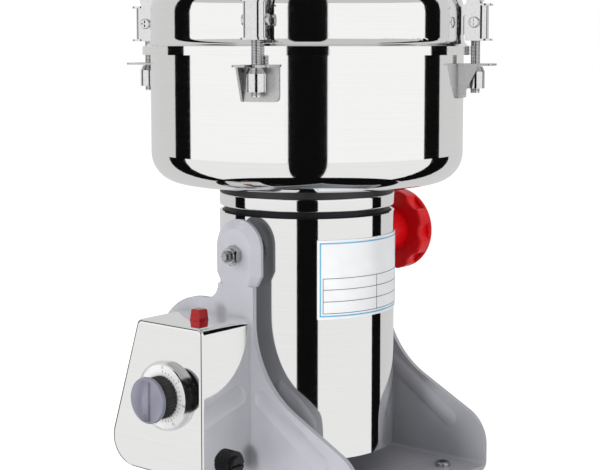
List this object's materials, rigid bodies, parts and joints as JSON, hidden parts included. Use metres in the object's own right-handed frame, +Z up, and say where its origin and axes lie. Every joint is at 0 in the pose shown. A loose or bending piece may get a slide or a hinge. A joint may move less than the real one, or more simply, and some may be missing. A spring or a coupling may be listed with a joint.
{
  "type": "electric spice grinder",
  "caption": "Bench-top electric spice grinder: a latched steel bowl and lid on a motor can that swings between two stand arms, with a side control box and a lock knob.",
  "frame": {"origin": "middle of the footprint, on the table under the rubber feet", "axes": "+X along the swing pivot from the control box to the lock knob, -Y to the front where the head pours, +Z up along the motor can's axis"},
  "size_m": [0.226, 0.21, 0.3162],
  "materials": {
    "yoke_paint": "glossy light grey paint",
    "polished_steel": "mirror polished stainless",
    "plated_steel": "bright plating",
    "plain_steel": "plain ground steel",
    "lamination_steel": "dull stamped sheets",
    "cast_aluminium": "cast",
    "dial_aluminium": "satin with dark printing",
    "plate_white": "white print with a blue border",
    "copper": "bare and lacquered copper",
    "black_rubber": "matte",
    "white_silicone": "satin",
    "black_plastic": "satin",
    "carbon": "dull",
    "red_gloss": "glossy",
    "red_clear": "glossy, slightly see-through"
  },
  "bodies": {
    "stand": {"yoke_frame": "yoke_paint", "rubber_feet": "black_rubber", "stand_screws": "plain_steel", "control_box": "polished_steel", "cord_inlet": "black_plastic", "timer_switch": "black_plastic", "timer_bezel": "plated_steel", "timer_dial": "dial_aluminium", "overload_breaker": "black_plastic", "fuse_holder": "black_plastic", "fuse_cap": "black_plastic"},
    "rotor": {"rotor_shaft": "plain_steel", "armature_core": "lamination_steel", "armature_windings": "copper", "commutator": "copper", "cooling_fan": "black_plastic", "lower_blade": "plain_steel", "blade_spacer": "plain_steel", "upper_blade": "plain_steel", "blade_nut": "plain_steel"},
    "lock_knob": {"lock_knob": "red_gloss", "lock_knob_stud": "plain_steel"},
    "timer_knob": {"timer_knob": "black_plastic"},
    "reset_button": {"reset_button": "red_clear"},
    "latch_lever_1": {"latch_lever_1": "plated_steel"},
    "latch_link_1": {"latch_link_1": "plated_steel", "latch_rod_1": "plated_steel"},
    "latch_lever_2": {"latch_lever_2": "plated_steel"},
    "latch_link_2": {"latch_link_2": "plated_steel", "latch_rod_2": "plated_steel"},
    "latch_lever_3": {"latch_lever_3": "plated_steel"},
    "latch_link_3": {"latch_link_3": "plated_steel", "latch_rod_3": "plated_steel"},
    "latch_lever_4": {"latch_lever_4": "plated_steel"},
    "latch_link_4": {"latch_link_4": "plated_steel", "latch_rod_4": "plated_steel"},
    "head": {"motor_can": "polished_steel", "rating_plate": "plate_white", "shaft_bearings": "plain_steel", "upper_end_cover": "cast_aluminium", "clamp_ring": "polished_steel", "neck_collar": "cast_aluminium", "lower_bracket": "cast_aluminium", "can_bottom_cover": "black_plastic", "motor_screws": "plain_steel", "stator_core": "lamination_steel", "field_coils": "copper", "carbon_brushes": "carbon", "brush_holders": "black_plastic", "pivot_stud": "plain_steel", "pivot_nut": "plain_steel", "pivot_spacers": "plain_steel", "knob_weld_nut": "plain_steel", "grinding_bowl": "polished_steel", "shaft_seal": "black_rubber", "lid_shell": "polished_steel", "lid_gasket": "white_silicone", "latch_brackets": "plated_steel", "latch_pivot_pins": "plain_steel", "catch_brackets": "polished_steel"}
  },
  "joints": [
    {"name": "tilt", "type": "hinge", "parent": "stand", "child": "head", "pos_m": [0.00795, 0, 0.1443], "axis": [1, 0, 0], "range_deg": [-45, 90]},
    {"name": "lock_knob_turn", "type": "hinge", "parent": "head", "child": "lock_knob", "pos_m": [0.08795, 0, 0.1443], "axis": [1, 0, 0], "range_deg": [0, 360]},
    {"name": "timer_turn", "type": "hinge", "parent": "stand", "child": "timer_knob", "pos_m": [-0.10705, 0.0153, 0.06922], "axis": [1, 0, 0], "range_deg": [0, 300]},
    {"name": "reset_press", "type": "slide", "parent": "stand", "child": "reset_button", "axis": [0, 0, -1], "range_m": [0, 0.0025], "stiffness_N_per_m": 400, "springref_m": -0.001},
    {"name": "rotor_spin", "type": "hinge", "parent": "head", "child": "rotor", "pos_m": [0.00795, 0, 0.1443], "axis": [0, 0, 1], "continuous": true},
    {"name": "latch_lever_1_swing", "type": "hinge", "parent": "head", "child": "latch_lever_1", "pos_m": [0.0483, -0.0915, 0.289], "axis": [0.915, 0.4035, 0], "range_deg": [0, 85]},
    {"name": "latch_link_1_swing", "type": "hinge", "parent": "latch_lever_1", "child": "latch_link_1", "pos_m": [0.0479, -0.09058, 0.2975], "axis": [0.915, 0.4035, 0], "range_deg": [-94, 0]},
    {"name": "latch_lever_2_swing", "type": "hinge", "parent": "head", "child": "latch_lever_2", "pos_m": [0.09945, 0.04035, 0.289], "axis": [-0.4035, 0.915, 0], "range_deg": [0, 85]},
    {"name": "latch_link_2_swing", "type": "hinge", "parent": "latch_lever_2", "child": "latch_link_2", "pos_m": [0.09853, 0.03995, 0.2975], "axis": [-0.4035, 0.915, 0], "range_deg": [-94, 0]},
    {"name": "latch_lever_3_swing", "type": "hinge", "parent": "head", "child": "latch_lever_3", "pos_m": [-0.03241, 0.0915, 0.289], "axis": [-0.915, -0.4035, 0], "range_deg": [0, 85]},
    {"name": "latch_link_3_swing", "type": "hinge", "parent": "latch_lever_3", "child": "latch_link_3", "pos_m": [-0.032, 0.09058, 0.2975], "axis": [-0.915, -0.4035, 0], "range_deg": [-94, 0]},
    {"name": "latch_lever_4_swing", "type": "hinge", "parent": "head", "child": "latch_lever_4", "pos_m": [-0.08355, -0.04035, 0.289], "axis": [0.4035, -0.915, 0], "range_deg": [0, 85]},
    {"name": "latch_link_4_swing", "type": "hinge", "parent": "latch_lever_4", "child": "latch_link_4", "pos_m": [-0.08263, -0.03995, 0.2975], "axis": [0.4035, -0.915, 0], "range_deg": [-94, 0]}
  ],
  "couplings": [
    {"joint": "latch_link_1_swing", "follows": "latch_lever_1_swing", "ratio": -1.1},
    {"joint": "latch_link_2_swing", "follows": "latch_lever_2_swing", "ratio": -1.1},
    {"joint": "latch_link_3_swing", "follows": "latch_lever_3_swing", "ratio": -1.1},
    {"joint": "latch_link_4_swing", "follows": "latch_lever_4_swing", "ratio": -1.1}
  ]
}
